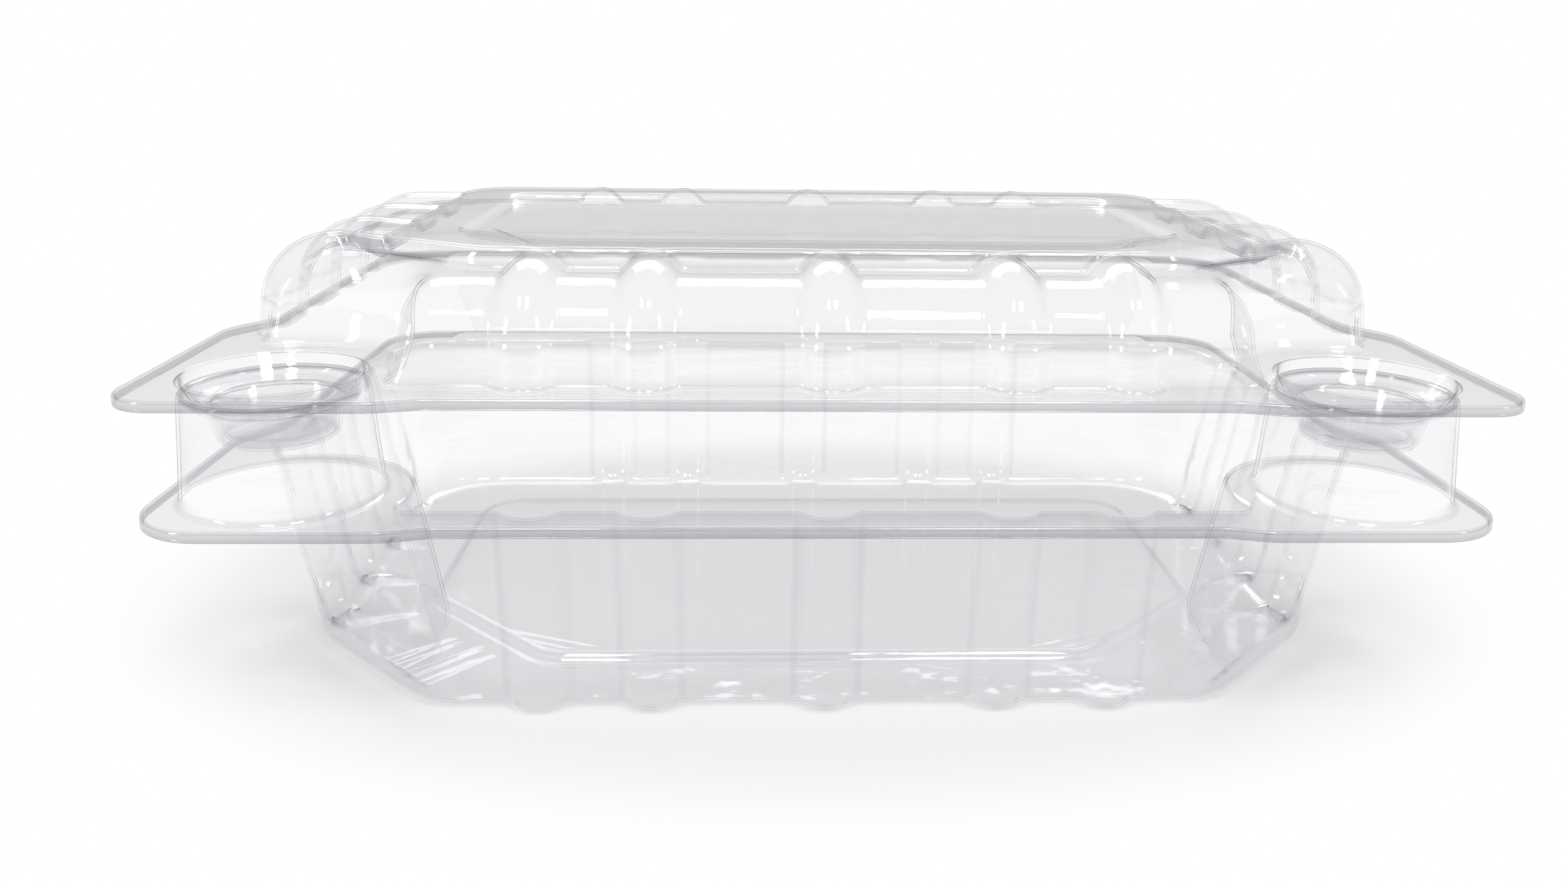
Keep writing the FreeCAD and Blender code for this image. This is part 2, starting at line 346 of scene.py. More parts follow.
def side_and_back(half_x, zone_y, back, corner, back_zone_x):
    """Points along the side from zone_y, round the back corner and to the back's centre."""
    zone_end = min(SIDE_ZONE[1], back - corner - ZONE_GAP)
    return np.concatenate([
        line_points((half_x, zone_y), (half_x, zone_end), SIDE_STEPS),
        line_points((half_x, zone_end), (half_x, back - corner), SIDE_END_STEPS),
        arc_points((half_x - corner, back - corner), corner, 0.0, math.pi / 2, CORNER_STEPS),
        line_points((half_x - corner, back), (back_zone_x, back), BACK_RUN_STEPS),
        line_points((back_zone_x, back), (0.0, back), FRONT_STEPS),
        np.array([[0.0, back]]),
    ])


def walled_ring(half_x, half_y, notch, arris, corner):
    """A wall's outline at one height, with its front corners hollowed about the buttons."""
    bx, by = BUTTON
    reach = notch + arris
    # The arris on the front wall
    cy1 = -half_y + arris
    cx1 = bx - math.sqrt(reach ** 2 - (cy1 - by) ** 2)
    turn1 = math.atan2(by - cy1, bx - cx1)
    # The arris on the side wall
    cx2 = half_x - arris
    cy2 = by + math.sqrt(reach ** 2 - (cx2 - bx) ** 2)
    turn2 = math.atan2(by - cy2, bx - cx2)
    zone_x = min(RIB_ZONE_X, cx1 - 2 * ZONE_GAP)
    zone_y = max(SIDE_ZONE[0], cy2 + ZONE_GAP)
    parts = [
        line_points((0.0, -half_y), (zone_x, -half_y), FRONT_STEPS),
        line_points((zone_x, -half_y), (cx1, -half_y), FRONT_RUN_STEPS),
        arc_points((cx1, cy1), arris, -math.pi / 2, turn1, ARRIS_STEPS),
        arc_points(BUTTON, notch, turn1 + math.pi, turn2 + math.pi, NOTCH_STEPS),
        arc_points((cx2, cy2), arris, turn2, 0.0, ARRIS_STEPS),
        line_points((half_x, cy2), (half_x, zone_y), SIDE_RUN_STEPS),
        side_and_back(half_x, zone_y, half_y, corner, RIB_ZONE_X),
    ]
    return mirror_ring(np.concatenate(parts))


def chamfered_ring(half_x, front, back, chamfer_x, chamfer_y, soft, corner):
    """A ring with straight chamfers in front and round corners at the back.

    Its points keep step with those of walled_ring, so that the two can be joined."""
    start = np.array([half_x - chamfer_x, -front])
    end = np.array([half_x, -front + chamfer_y])
    cut = (end - start) / np.linalg.norm(end - start)
    front_end = start - np.array([soft, 0.0])
    side_start = end + np.array([0.0, soft])
    zone_x = min(RIB_ZONE_X, front_end[0] - ZONE_GAP)
    zone_y = max(SIDE_ZONE[0], side_start[1] + ZONE_GAP)
    back_zone_x = min(RIB_ZONE_X, half_x - corner - ZONE_GAP)
    t = (np.arange(SOFT_STEPS) / SOFT_STEPS)[:, None]
    first_bend = (1 - t) ** 2 * front_end + 2 * t * (1 - t) * start + t ** 2 * (start + cut * soft)
    last_bend = (1 - t) ** 2 * (end - cut * soft) + 2 * t * (1 - t) * end + t ** 2 * side_start
    parts = [
        line_points((0.0, -front), (zone_x, -front), FRONT_STEPS),
        line_points((zone_x, -front), front_end, FRONT_RUN_STEPS),
        first_bend,
        line_points(start + cut * soft, end - cut * soft, CHAMFER_STEPS),
        last_bend,
        line_points(side_start, (half_x, zone_y), SIDE_RUN_STEPS),
        side_and_back(half_x, zone_y, back, corner, back_zone_x),
    ]
    return mirror_ring(np.concatenate(parts))


def blend_rings(a, b, t):
    """The ring at a share t of the way from a to b."""
    return a * (1 - t) + b * t


def ring_normals(ring):
    """Outward directions of a closed ring that runs anticlockwise."""
    along = np.roll(ring, -1, axis=0) - np.roll(ring, 1, axis=0)
    length = np.maximum(np.linalg.norm(along, axis=1), 1e-9)
    return np.stack([along[:, 1], -along[:, 0]], axis=1) / length[:, None]


def soft_above(values, sharpness):
    """max(values, 0) with a rounded bend."""
    limit = 40.0
    scaled = np.clip(values * sharpness, -limit, limit)
    return np.log1p(np.exp(scaled)) / sharpness


def rib_height(ring, half_x, half_y, drop=0.0, sunk=0.0):
    """How far the ribs stand out of a ring of the wall at half_x and half_y.

    drop is how far the ring lies below the ribs' round feet, and sunk how far inside the wall."""
    x = ring[:, 0]
    y = ring[:, 1]
    height = np.zeros(len(ring))
    on_long = np.abs(np.abs(y) - half_y) < WALL_REACH
    on_short = np.abs(np.abs(x) - half_x) < WALL_REACH
    for sites, across, wall in ((LONG_RIBS, x, on_long), (SHORT_RIBS, y, on_short)):
        for site in sites:
            squared = RIB_RADIUS ** 2 - (across - site) ** 2 - drop ** 2
            far = np.sqrt(np.maximum(-squared, 0.0))
            crown = np.sqrt(np.maximum(squared, 0.0)) - far - (RIB_RADIUS - RIB_PROUD) + sunk
            height = np.maximum(height, np.where(wall, soft_above(crown, RIB_SOFT), 0.0))
    return height


# Meshes

class Sheet:
    """A film surface that is put together from rings of points and flat fills."""

    def __init__(self):
        self.points = []
        self.faces = []

    def ring(self, xy, z):
        """Adds a closed ring and returns the numbers of its points."""
        start = len(self.points)
        heights = np.broadcast_to(np.asarray(z, dtype=float), (len(xy),))
        self.points.extend((float(p[0]), float(p[1]), float(h)) for p, h in zip(xy, heights))
        return list(range(start, len(self.points)))

    def bridge(self, low, high):
        """Quads between two rings of as many points."""
        count = len(low)
        for i in range(count):
            j = (i + 1) % count
            self.faces.append((low[i], low[j], high[j], high[i]))

    def fill(self, outer, holes=()):
        """A flat fill between a ring and the holes in it."""
        loops = [outer] + list(holes)
        numbers = [n for loop in loops for n in loop]
        flat = [Vector(self.points[n][:2]) for n in numbers]
        edges = []
        start = 0
        for loop in loops:
            size = len(loop)
            edges += [(start + i, start + (i + 1) % size) for i in range(size)]
            start += size
        result = delaunay_2d_cdt(flat, edges, [], 0, FILL_CLOSE)
        places, faces, origins = result[0], result[2], result[3]
        back = [numbers[o[0]] for o in origins]
        outer_path = [self.points[n][:2] for n in outer]
        hole_paths = [[self.points[n][:2] for n in hole] for hole in holes]
        for face in faces:
            middle = sum((places[i] for i in face), Vector((0.0, 0.0))) / len(face)
            if not inside(middle, outer_path):
                continue
            if any(inside(middle, path) for path in hole_paths):
                continue
            self.faces.append(tuple(back[i] for i in face))


def inside(place, path):
    """True if a place is inside a closed path."""
    x, y = place[0], place[1]
    hit = False
    for i in range(len(path)):
        x0, y0 = path[i - 1]
        x1, y1 = path[i]
        if (y0 > y) != (y1 > y) and x < (x1 - x0) * (y - y0) / (y1 - y0) + x0:
            hit = not hit
    return hit


def stack(sheet, rings, first):
    """Bridges rings given as (xy, z), starting from an existing ring, and returns the last."""
    last = first
    for xy, z in rings:
        new = sheet.ring(xy, z)
        sheet.bridge(last, new)
        last = new
    return last


def circle(radius, side, wave):
    """A ring about a button, anticlockwise, with a lobed edge if wave isn't 0."""
    a = 2 * math.pi * np.arange(ROUND_STEPS) / ROUND_STEPS
    r = radius + wave * np.cos(LUGS * a)
    return np.stack([side * BUTTON[0] + r * np.cos(a), BUTTON[1] + r * np.sin(a)], axis=1)


def rounded_profile(corners):
    """Points (r, z) along a profile whose corners (r, z, radius) are rounded by short curves."""
    points = [np.array(corners[0][:2])]
    for i in range(1, len(corners) - 1):
        here = np.array(corners[i][:2])
        radius = corners[i][2]
        back = np.array(corners[i - 1][:2]) - here
        ahead = np.array(corners[i + 1][:2]) - here
        back /= np.linalg.norm(back)
        ahead /= np.linalg.norm(ahead)
        half = math.acos(max(-1.0, min(1.0, float(back @ ahead)))) / 2
        reach = radius / math.tan(half)
        for t in np.linspace(0.0, 1.0, BEND_STEPS):
            curve = (1 - t) ** 2 * back * reach + t ** 2 * ahead * reach
            points.append(here + curve)
    points.append(np.array(corners[-1][:2]))
    return points


def lobed_round(sheet, side, profile, seat_z, tip_z, lobed_within):
    """Adds a round form about a button from its profile, and returns its outermost ring.

    Lobes stand out between the seat and the tip on the rings that are smaller than lobed_within."""
    first = None
    last = None
    for r, z in profile:
        depth = (seat_z - z) / (seat_z - tip_z)
        wave = 0.0
        if r < lobed_within:
            wave = LUG_PROUD * max(0.0, 1 - abs(depth - LUG_MIDDLE) / LUG_REACH)
        new = sheet.ring(circle(r, side, wave), z)
        if last is None:
            first = new
        else:
            sheet.bridge(new, last)
        last = new
    sheet.fill(last)
    return first


def lip(sheet, top, corner):
    """The edge of a flange, turned down, though only slightly along the hinge.

    Returns the ring inside the bend, where the flange's flat fill starts."""
    flat = sheet.ring(flange_ring(LIP_ROUND + SUPPORT, corner), top)
    last = sheet.ring(flange_ring(LIP_ROUND, corner), top)
    sheet.bridge(last, flat)
    for inset, drop in LIP_SECTION:
        xy = flange_ring(inset, corner)
        at_back = np.clip((xy[:, 1] - FLANGE_BACK + LIP_FADE_MARGIN_Y) / LIP_FADE_Y, 0.0, 1.0)
        at_hinge = np.clip((HINGE_HALF + LIP_FADE_MARGIN_X - np.abs(xy[:, 0])) / LIP_FADE_X, 0.0, 1.0)
        keep = 1.0 - (1.0 - LIP_AT_HINGE) * at_back * at_hinge
        new = sheet.ring(xy, top - drop * keep)
        sheet.bridge(new, last)
        last = new
    return flat


def sheet_mesh(name, sheet):
    """The sheet's points and faces as a mesh in metres."""
    mesh = bpy.data.meshes.new(name)
    mesh.from_pydata([(x * MM, y * MM, z * MM) for x, y, z in sheet.points], [], sheet.faces)
    mesh.update()
    return mesh


def thickened(name, mesh, thickness, offset):
    """An object with the mesh as a closed film. offset is -1 to thicken behind it and 0 to both sides."""
    piece = bpy.data.objects.new(name, mesh)
    bpy.context.scene.collection.objects.link(piece)
    solid = piece.modifiers.new("film", "SOLIDIFY")
    solid.thickness = thickness * MM
    solid.offset = offset
    depsgraph = bpy.context.evaluated_depsgraph_get()
    made = bpy.data.meshes.new_from_object(piece.evaluated_get(depsgraph))
    piece.modifiers.clear()
    piece.data = made
    for polygon in made.polygons:
        polygon.use_smooth = True
    return piece


def shell_film(name, sheet):
    """A formed shell of the sheet, whose shown side looks up and whose film lies beneath it."""
    mesh = sheet_mesh(name, sheet)
    work = bmesh.new()
    work.from_mesh(mesh)
    bmesh.ops.remove_doubles(work, verts=work.verts, dist=MERGE_METRES)
    bmesh.ops.recalc_face_normals(work, faces=work.faces)
    largest = max(work.faces, key=lambda f: f.calc_area())
    if largest.normal.z <= 0:
        bmesh.ops.reverse_faces(work, faces=work.faces)
    work.to_mesh(mesh)
    work.free()
    piece = thickened(name, mesh, FILM, -1.0)
    mark_bends(piece.data)
    return piece


def mark_bends(mesh):
    """Stores how tightly the film is bent at each point, from 0 to 1."""
    count = len(mesh.vertices)
    places = np.empty(count * 3)
    normals = np.empty(count * 3)
    mesh.vertices.foreach_get("co", places)
    mesh.vertex_normals.foreach_get("vector", normals)
    places = places.reshape(-1, 3) / MM
    normals = normals.reshape(-1, 3)
    ends = np.empty(len(mesh.edges) * 2, dtype=int)
    mesh.edges.foreach_get("vertices", ends)
    ends = ends.reshape(-1, 2)
    length = np.linalg.norm(places[ends[:, 0]] - places[ends[:, 1]], axis=1)
    turn = np.linalg.norm(normals[ends[:, 0]] - normals[ends[:, 1]], axis=1)
    tightness = turn / np.maximum(length, SHORTEST_EDGE)
    bend = np.zeros(count)
    np.maximum.at(bend, ends[:, 0], tightness)
    np.maximum.at(bend, ends[:, 1], tightness)
    # The corners of a wide flat face would spread their bend over all of it
    bend[ends[length > FLAT_EDGE].ravel()] = 0.0
    share = np.clip((bend - BEND_LEAST) / (BEND_MOST - BEND_LEAST), 0.0, 1.0)
    layer = mesh.attributes.new("bend", "FLOAT", "POINT")
    layer.data.foreach_set("value", share.astype(np.float32))


# Tray

def tray_wall(z, widen=0.0):
    """The inner face of the tray above its corner ledges, widened towards the flange."""
    rise = z / TRAY_TOP
    half_x = FLOOR_X + (MOUTH_X - FLOOR_X) * rise - FILM
    half_y = FLOOR_Y + (MOUTH_Y - FLOOR_Y) * rise - FILM
    notch = NOTCH_FOOT + (NOTCH_MOUTH - NOTCH_FOOT) * (z - NOTCH_LEDGE) / (TRAY_TOP - NOTCH_LEDGE)
    ring = walled_ring(half_x, half_y, notch + FILM, TRAY_ARRIS, BACK_CORNER)
    height = rib_height(ring, half_x, half_y) + widen
    return ring + ring_normals(ring) * height[:, None]


def tray_foot(z, inset=0.0):
    """The inner face of the tray below its corner ledges, where the corners are straight."""
    rise = z / TRAY_TOP
    half_x = FLOOR_X + (MOUTH_X - FLOOR_X) * rise - FILM - inset
    half_y = FLOOR_Y + (MOUTH_Y - FLOOR_Y) * rise - FILM - inset
    cut = FLOOR_CHAMFER + CHAMFER_GROWTH * inset
    corner = BACK_CORNER - CORNER_SHRINK * inset
    ring = chamfered_ring(half_x, half_y, half_y, cut, cut, FLOOR_CORNER, corner)
    drop = RIB_FOOT_DROP * max(0.0, 1.0 - z / RIB_FOOT)
    height = rib_height(ring, half_x, half_y, drop, inset)
    return ring + ring_normals(ring) * height[:, None]


def pad_ring(inset):
    """The outline of the floor's raised middle."""
    half_x = FLOOR_X - PAD_MARGIN - inset
    half_y = FLOOR_Y - PAD_MARGIN - inset
    return rounded_ring([
        (half_x - PAD_CHAMFER, -half_y, PAD_CORNER),
        (half_x, -half_y + PAD_CHAMFER, PAD_CORNER),
        (half_x, half_y, PAD_CORNER),
    ], PAD_STEPS, PAD_TURNS)


def post(sheet, side):
    """A hollow post that rises from the tray's flange, with a funnel and a socket on top."""
    slope = DISH_DROP / (DISH - DISH_SEAT)
    rim_z = LID_UNDER - slope * (DISH - POST_TOP) - FIT_GAP
    seat_z = LID_UNDER - DISH_DROP - FIT_GAP
    tip_z = LID_UNDER - PLUG_DROP - FIT_GAP
    # Each corner is (radius about the button, height, rounding)
    profile = rounded_profile([
        (POST_FOOT + POST_FLARE, TRAY_TOP, 0), (POST_FOOT, TRAY_TOP, 0.9),
        (POST_TOP, rim_z, 0.7), (DISH_SEAT, seat_z, 0.5),
        (PLUG + FIT_GAP, seat_z, 0.4), (PLUG_TIP + FIT_GAP, tip_z, 0.8), (TIP_RING, tip_z, 0),
    ])
    return lobed_round(sheet, side, profile, seat_z, tip_z, DISH_SEAT)


def make_tray():
    """The tray: flange, bend, ribbed walls, corner ledges, floor with its pad, and posts."""
    sheet = Sheet()
    flat = lip(sheet, TRAY_TOP, TRAY_EAR_CORNER)
    mouth_flat = sheet.ring(tray_wall(TRAY_TOP, TRAY_BEND + SUPPORT), TRAY_TOP)
    rings = []
    for angle in np.linspace(0.0, TRAY_BEND_ANGLE, BEND_STEPS):
        z = TRAY_TOP - TRAY_BEND * (1 - math.cos(angle))
        rings.append((tray_wall(z, TRAY_BEND * (1 - math.sin(angle))), z))
    for z in np.linspace(TRAY_TOP - 4 * TRAY_BEND, NOTCH_LEDGE + LEDGE_MARGIN, WALL_LEVELS):
        rings.append((tray_wall(z), z))
    # Along the ledge the hollow corners turn into the floor's straight chamfers
    for step in np.linspace(0.0, 1.0, LEDGE_LEVELS):
        z = NOTCH_LEDGE - LEDGE_FALL * step
        share = step * step * (3 - 2 * step)
        rings.append((blend_rings(tray_wall(z), tray_foot(z), share), z))
    for z in np.linspace(NOTCH_LEDGE - LEDGE_FALL - FOOT_MARGIN, FILM + FLOOR_ROUND, FOOT_LEVELS):
        rings.append((tray_foot(z), z))
    for angle in np.linspace(0.0, math.pi / 2, FLOOR_LEVELS)[1:]:
        z = FILM + FLOOR_ROUND * (1 - math.sin(angle))
        rings.append((tray_foot(z, FLOOR_ROUND * (1 - math.cos(angle))), z))
    rings.append((tray_foot(FILM, FLOOR_ROUND + SUPPORT), FILM))
    floor_edge = stack(sheet, rings, mouth_flat)
    pad_rings = [(pad_ring(inset), FILM + PAD_RISE * rise) for inset, rise in PAD_SECTION]
    pad_edge = sheet.ring(*pad_rings[0])
    sheet.fill(floor_edge, [pad_edge])
    sheet.fill(stack(sheet, pad_rings[1:], pad_edge))
    posts = [post(sheet, side) for side in (-1, 1)]
    sheet.fill(flat, [mouth_flat] + posts)
    return shell_film("tray_film", sheet)


# Lid

def lid_ring(inset, z):
    """The outside of the lid at an inset from its foot, without ribs, and its half sizes."""
    rise = min(1.0, max(0.0, (z - LID_UNDER) / (LEDGE - SHOULDER - LID_UNDER)))
    flare = LID_NOTCH_FLARE * max(0.0, inset / SHOULDER_IN) ** FLARE_POWER
    notch = LID_NOTCH + (LID_NOTCH_TOP - LID_NOTCH) * rise + flare + min(inset, 0.0)
    half_x = MOUTH_X - inset
    half_y = MOUTH_Y - inset
    corner = max(BACK_CORNER - LID_CORNER_SHRINK * inset, LID_CORNER_LEAST)
    ring = walled_ring(half_x, half_y, notch, LID_ARRIS, corner)
    return ring, half_x, half_y


def lid_level(inset, z, tilt=0.0):
    """One ring of the lid. tilt turns the ribs' direction from outward to upward."""
    ring, half_x, half_y = lid_ring(inset, z)
    height = rib_height(ring, half_x, half_y)
    out = ring_normals(ring) * (height * math.cos(tilt))[:, None]
    return ring + out, z + height * math.sin(tilt)


def rim_ring(inset):
    """The rim's outline, with its points in step with those of the shoulder around it."""
    return chamfered_ring(RIM_X - inset, RIM_FRONT - inset, RIM_BACK - inset, RIM_CHAMFER_X,
                          RIM_CHAMFER_Y, RIM_SOFT, RIM_CORNER - RIM_CORNER_SHRINK * inset)


def button(sheet, side):
    """The lid's press-in button: a shallow dish and a lobed plug, seen from above."""
    top = LID_UNDER + FILM
    seat_z = top - DISH_DROP
    tip_z = top - PLUG_DROP
    # Each corner is (radius about the button, height, rounding)
    profile = rounded_profile([
        (DISH, top, 0), (DISH - FILM - DISH_EDGE, top, 0.12),
        (DISH_SEAT - FILM, seat_z, 0.8), (PLUG - FILM, seat_z, 0.5),
        (PLUG_TIP - FILM, tip_z, 1.0), (TIP_RING, tip_z, 0),
    ])
    return lobed_round(sheet, side, profile, seat_z, tip_z, DISH_SEAT - LOBE_MARGIN)


def make_lid():
    """The lid: flange, bend, foot band, ribbed walls and shoulder, ledge, rim, panel, buttons."""
    sheet = Sheet()
    top = LID_UNDER + FILM
    flat = lip(sheet, top, LID_EAR_CORNER)
    foot_flat = sheet.ring(*lid_level(-LID_BEND - SUPPORT, top))
    rings = []
    for angle in np.linspace(0.0, LID_BEND_ANGLE, BEND_STEPS):
        out = LID_BEND * (1 - math.sin(angle))
        rings.append(lid_level(-out, top + LID_BEND * (1 - math.cos(angle))))
    # The band at the foot leans in a little and ends in a small step
    band_z = LID_UNDER + BAND_HEIGHT
    band_lean = LID_LEAN * (band_z - top) / (LEDGE - top)
    for z in np.linspace(top + BAND_START, band_z - BAND_MARGIN, BAND_LEVELS):
        rings.append(lid_level(band_lean * (z - top) / (band_z - top), z))
    for past, share in BAND_EDGE:
        rings.append(lid_level(band_lean + BAND_PROUD * share, band_z + past))
    # The shoulder is an arc that leans in as it rises, and the ribs turn upward with it
    shoulder_z = LEDGE - SHOULDER
    start_angle = math.asin((band_z + SHOULDER_START - shoulder_z) / SHOULDER)
    reach = SHOULDER_IN - BAND_PROUD - band_lean
    for angle in np.linspace(start_angle, math.pi / 2, SHOULDER_LEVELS):
        share = (math.cos(start_angle) - math.cos(angle)) / math.cos(start_angle)
        inset = band_lean + BAND_PROUD + reach * share
        rings.append(lid_level(inset, shoulder_z + SHOULDER * math.sin(angle), angle))
    # The ledge runs in to the rim, and the ribs run along it
    shoulder_ring, half_x, half_y = lid_ring(SHOULDER_IN, LEDGE)
    height = rib_height(shoulder_ring, half_x, half_y)
    for share in LEDGE_SHARES:
        rings.append((blend_rings(shoulder_ring, rim_ring(RIM_FOOT), share), LEDGE + height))
    for inset, rise in RIM_SECTION:
        rings.append((rim_ring(inset), LEDGE + height * (1 - rise) + (RIM - LEDGE) * rise))
    for inset, drop in PANEL_SECTION:
        rings.append((rim_ring(PANEL_MARGIN + inset), RIM - PANEL_DROP * drop))
    sheet.fill(stack(sheet, rings, foot_flat))
    buttons = [button(sheet, side) for side in (-1, 1)]
    sheet.fill(flat, [foot_flat] + buttons)
    return shell_film("lid_film", sheet)


# Hinge strip

def strip_film(name, section, thickness):
    """A film along X from its section, whose points are (y, z, half width)."""
    sheet = Sheet()
    rows = []
    for y, z, half in section:
        start = len(sheet.points)
        sheet.points += [(half * (2 * i / STRIP_STEPS - 1), y, z) for i in range(STRIP_STEPS + 1)]
        rows.append(range(start, len(sheet.points)))
    for low, high in zip(rows, rows[1:]):
        sheet.faces += [(low[i], low[i + 1], high[i + 1], high[i]) for i in range(STRIP_STEPS)]
    return thickened(name, sheet_mesh(name, sheet), thickness, 0.0)


def make_strip():
    """The hinge strip between the creases, widest at half its height."""
    low = TRAY_TOP - FILM / 2 + CREASE_GAP
    high = LID_UNDER + FILM / 2 - CREASE_GAP
    section = []
    for t in np.linspace(0.0, 1.0, STRIP_LEVELS):
        section.append((HINGE_Y, low + (high - low) * t, HINGE_HALF - HINGE_END * abs(2 * t - 1)))
    return strip_film("hinge_film", section, STRIP_FILM)


def make_crease(name, flange_z, strip_z):
    """The thin bend between a flange's back edge and the hinge strip."""
    start_y = FLANGE_BACK - CREASE_LAP
    section = []
    for angle in np.linspace(0.0, math.pi / 2, CREASE_LEVELS):
        y = start_y + (HINGE_Y - start_y) * math.sin(angle)
        z = flange_z + (strip_z - flange_z) * (1 - math.cos(angle))
        section.append((y, z, HINGE_HALF - HINGE_END))
    return strip_film(name, section, CREASE_FILM)


# Materials

def new_material(name):
    """An empty node material, with its nodes and links."""
    material = bpy.data.materials.new(name)
    material.use_nodes = True
    material.node_tree.nodes.clear()
    return material, material.node_tree.nodes, material.node_tree.links


def math_node(nodes, links, operation, first, second):
    """The result of a maths node, whose two inputs are numbers or other nodes' results."""
    node = nodes.new("ShaderNodeMath")
    node.operation = operation
    for socket, value in zip(node.inputs, (first, second)):
        if isinstance(value, (int, float)):
            socket.default_value = value
        else:
            links.new(value, socket)
    return node.outputs[0]


def smooth_share(nodes, links, value, low, high):
    """0 where the value is at or under low and 1 from high on, with a smooth rise between."""
    node = nodes.new("ShaderNodeMapRange")
    node.inputs["From Min"].default_value = low
    node.inputs["From Max"].default_value = high
    node.interpolation_type = "SMOOTHSTEP"
    links.new(value, node.inputs["Value"])
    return node.outputs["Result"]


def stretched(nodes, links, place, scale):
    """A place multiplied by a scale for each axis."""
    node = nodes.new("ShaderNodeMapping")
    node.inputs["Scale"].default_value = scale
    links.new(place, node.inputs["Vector"])
    return node.outputs["Vector"]


def noise(nodes, links, place, scale, detail):
    """The height of a noise pattern at a place."""
    node = nodes.new("ShaderNodeTexNoise")
    node.inputs["Scale"].default_value = scale
    node.inputs["Detail"].default_value = detail
    links.new(place, node.inputs["Vector"])
    return node.outputs["Fac"]


def coloured(nodes, kind, colour, **values):
    """A shader node of a kind with its colour and other values."""
    node = nodes.new(kind)
    node.inputs["Color"].default_value = colour
    for label, value in values.items():
        node.inputs[label].default_value = value
    return node


def mixed_surface(nodes, links, share, first, second, out):
    """Sends a mix of two shaders to the surface of an output node."""
    mix = nodes.new("ShaderNodeMixShader")
    links.new(share, mix.inputs["Fac"])
    links.new(first.outputs[0], mix.inputs[1])
    links.new(second.outputs[0], mix.inputs[2])
    links.new(mix.outputs[0], out.inputs["Surface"])


def clear_film():
    """Clear plastic film: see-through, with painted shade at its outlines and bends in place of the dark
    refraction and reflection there, and a sharp wavy gloss.
    """
    material, nodes, links = new_material("clear_film")
    out = nodes.new("ShaderNodeOutputMaterial")
    place = nodes.new("ShaderNodeTexCoord").outputs["Object"]
    weight = nodes.new("ShaderNodeLayerWeight")
    weight.inputs["Blend"].default_value = 0.5
    facing = weight.outputs["Facing"]
    attribute = nodes.new("ShaderNodeAttribute")
    attribute.attribute_name = "bend"
    bend = attribute.outputs["Fac"]
    # What is seen through the film, turned grey at its outlines and bends by painted shade
    outline = smooth_share(nodes, links, facing, OUTLINE_SHADE_FROM, 1.0)
    painted_bend_shade = math_node(nodes, links, "MULTIPLY", bend, BEND_SHADE_SHARE)
    tint_and_painted_shade = nodes.new("ShaderNodeMix")
    tint_and_painted_shade.data_type = "RGBA"
    tint_and_painted_shade.inputs["A"].default_value = FILM_TINT
    tint_and_painted_shade.inputs["B"].default_value = PAINTED_EDGE_SHADE
    # Painted shade: the see-through colour turns grey towards the outlines and along the bends
    links.new(math_node(nodes, links, "MAXIMUM", outline, painted_bend_shade), tint_and_painted_shade.inputs["Factor"])
    clear = nodes.new("ShaderNodeBsdfTransparent")
    links.new(tint_and_painted_shade.outputs["Result"], clear.inputs["Color"])
    # The gloss, over fine waves and crinkles
    waves = noise(nodes, links, place, WAVE_SCALE, WAVE_DETAIL)
    upright = stretched(nodes, links, place, CRINKLE_STRETCH)
    crinkles = noise(nodes, links, upright, CRINKLE_SCALE, CRINKLE_DETAIL)
    bump = nodes.new("ShaderNodeBump")
    bump.inputs["Strength"].default_value = BUMP_STRENGTH
    bump.inputs["Distance"].default_value = BUMP_METRES
    links.new(math_node(nodes, links, "ADD", waves, crinkles), bump.inputs["Height"])
    gloss = coloured(nodes, "ShaderNodeBsdfGlossy", WHITE, Roughness=GLOSS_ROUGHNESS)
    links.new(bump.outputs["Normal"], gloss.inputs["Normal"])
    # The gloss grows towards the outlines and the bends
    curve = math_node(nodes, links, "POWER", facing, GLOSS_POWER)
    share = math_node(nodes, links, "MULTIPLY", curve, GLOSS_AT_EDGE)
    share = math_node(nodes, links, "ADD", share, GLOSS_LEAST)
    shine = math_node(nodes, links, "MULTIPLY", bend, GLOSS_AT_BENDS)
    share = math_node(nodes, links, "ADD", share, shine)
    mixed_surface(nodes, links, share, clear, gloss, out)
    return material


def studio_floor():
    """White paper: it takes the pack's shadow near it and is plain white further away."""
    material, nodes, links = new_material("studio_floor")
    out = nodes.new("ShaderNodeOutputMaterial")
    paper = coloured(nodes, "ShaderNodeBsdfDiffuse", PAPER)
    glow = coloured(nodes, "ShaderNodeEmission", WHITE, Strength=1.0)
    place = nodes.new("ShaderNodeTexCoord").outputs["Object"]
    distance = nodes.new("ShaderNodeVectorMath")
    distance.operation = "LENGTH"
    links.new(stretched(nodes, links, place, SHADOW_OVAL), distance.inputs[0])
    far = smooth_share(nodes, links, distance.outputs["Value"], SHADOW_INNER, SHADOW_OUTER)
    # Only what is seen turns white, and light still bounces off the paper as it is
    path = nodes.new("ShaderNodeLightPath").outputs
    seen = math_node(nodes, links, "MAXIMUM", path["Is Camera Ray"], path["Is Glossy Ray"])
    seen = math_node(nodes, links, "MAXIMUM", seen, path["Is Transmission Ray"])
    share = math_node(nodes, links, "MULTIPLY", seen, far)
    mixed_surface(nodes, links, share, paper, glow, out)
    return material


# The studio

def make_floor():
    bpy.ops.mesh.primitive_plane_add(size=FLOOR_SIZE, location=(0.0, 0.0, FLOOR_Z))
    floor = bpy.context.object
    floor.name = "floor"
    floor.data.materials.append(studio_floor())


